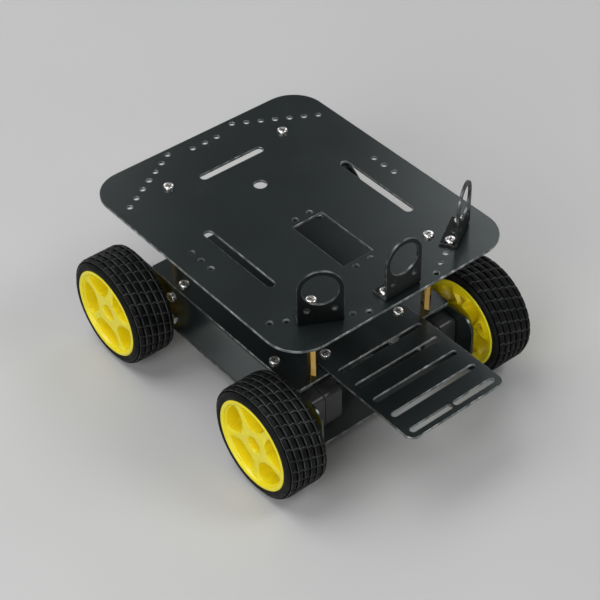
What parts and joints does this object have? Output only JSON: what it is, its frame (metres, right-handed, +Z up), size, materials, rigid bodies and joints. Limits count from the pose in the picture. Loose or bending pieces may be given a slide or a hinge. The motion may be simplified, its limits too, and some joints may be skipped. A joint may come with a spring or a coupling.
{
  "type": "wheeled robot chassis",
  "caption": "Driven wheeled robot chassis of black sheet metal with geared motors, a raised mounting plate on standoffs, ring sensor brackets and a slotted sensor plate.",
  "frame": {"origin": "middle of the whole object's footprint, on the surface that the wheels stand on", "axes": "+X forward, towards the sensor plate; +Y to the left; +Z up"},
  "size_m": [0.229, 0.171, 0.1354],
  "materials": {
    "black_sheet": "glossy black, thin bright edges",
    "brass": "turned brass, bright",
    "gearbox_plastic": "moulded, satin",
    "motor_steel": "zinc plated",
    "end_cap_plastic": "moulded, off-white",
    "terminal_brass": "stamped, bright",
    "shaft_plastic": "moulded nylon",
    "rim_plastic": "glossy yellow moulding",
    "tyre_rubber": "matt rubber with a block tread",
    "holder_plastic": "moulded, satin",
    "contact_metal": "nickel plated spring",
    "screw_steel": "nickel plated"
  },
  "bodies": {
    "chassis": {"top_plate": "black_sheet", "deck_plate": "black_sheet", "base_plate": "black_sheet", "side_plate_left": "black_sheet", "side_plate_right": "black_sheet", "sensor_plate": "black_sheet", "sensor_bracket_left": "black_sheet", "sensor_bracket_center": "black_sheet", "sensor_bracket_right": "black_sheet", "standoffs": "brass", "gearbox_outer_front_left": "gearbox_plastic", "gearbox_outer_front_right": "gearbox_plastic", "gearbox_outer_rear_left": "gearbox_plastic", "gearbox_outer_rear_right": "gearbox_plastic", "gearbox_inner_front_left": "gearbox_plastic", "gearbox_inner_front_right": "gearbox_plastic", "gearbox_inner_rear_left": "gearbox_plastic", "gearbox_inner_rear_right": "gearbox_plastic", "motor_can_front_left": "motor_steel", "motor_can_front_right": "motor_steel", "motor_can_rear_left": "motor_steel", "motor_can_rear_right": "motor_steel", "motor_end_cap_front_left": "end_cap_plastic", "motor_end_cap_front_right": "end_cap_plastic", "motor_end_cap_rear_left": "end_cap_plastic", "motor_end_cap_rear_right": "end_cap_plastic", "motor_terminals": "terminal_brass", "battery_holder": "holder_plastic", "battery_contacts": "contact_metal", "top_plate_screws": "screw_steel", "standoff_screws": "screw_steel", "deck_screws": "screw_steel", "base_screws": "screw_steel", "side_plate_nuts": "screw_steel", "sensor_plate_screws": "screw_steel", "sensor_plate_nuts": "screw_steel", "bracket_screws": "screw_steel", "bracket_nuts": "screw_steel", "motor_screws": "screw_steel", "motor_nuts": "screw_steel", "battery_holder_screws": "screw_steel", "battery_holder_nuts": "screw_steel"},
    "wheel_front_left": {"output_shaft_front_left": "shaft_plastic", "rim_front_left": "rim_plastic", "tyre_front_left": "tyre_rubber"},
    "wheel_front_right": {"output_shaft_front_right": "shaft_plastic", "rim_front_right": "rim_plastic", "tyre_front_right": "tyre_rubber"},
    "wheel_rear_left": {"output_shaft_rear_left": "shaft_plastic", "rim_rear_left": "rim_plastic", "tyre_rear_left": "tyre_rubber"},
    "wheel_rear_right": {"output_shaft_rear_right": "shaft_plastic", "rim_rear_right": "rim_plastic", "tyre_rear_right": "tyre_rubber"}
  },
  "joints": [
    {"name": "front_left_wheel_spin", "type": "hinge", "parent": "chassis", "child": "wheel_front_left", "pos_m": [0.051, 0.0725, 0.0325], "axis": [0, 1, 0], "continuous": true},
    {"name": "front_right_wheel_spin", "type": "hinge", "parent": "chassis", "child": "wheel_front_right", "pos_m": [0.051, -0.0725, 0.0325], "axis": [0, 1, 0], "continuous": true},
    {"name": "rear_left_wheel_spin", "type": "hinge", "parent": "chassis", "child": "wheel_rear_left", "pos_m": [-0.082, 0.0725, 0.0325], "axis": [0, 1, 0], "continuous": true},
    {"name": "rear_right_wheel_spin", "type": "hinge", "parent": "chassis", "child": "wheel_rear_right", "pos_m": [-0.082, -0.0725, 0.0325], "axis": [0, 1, 0], "continuous": true}
  ]
}
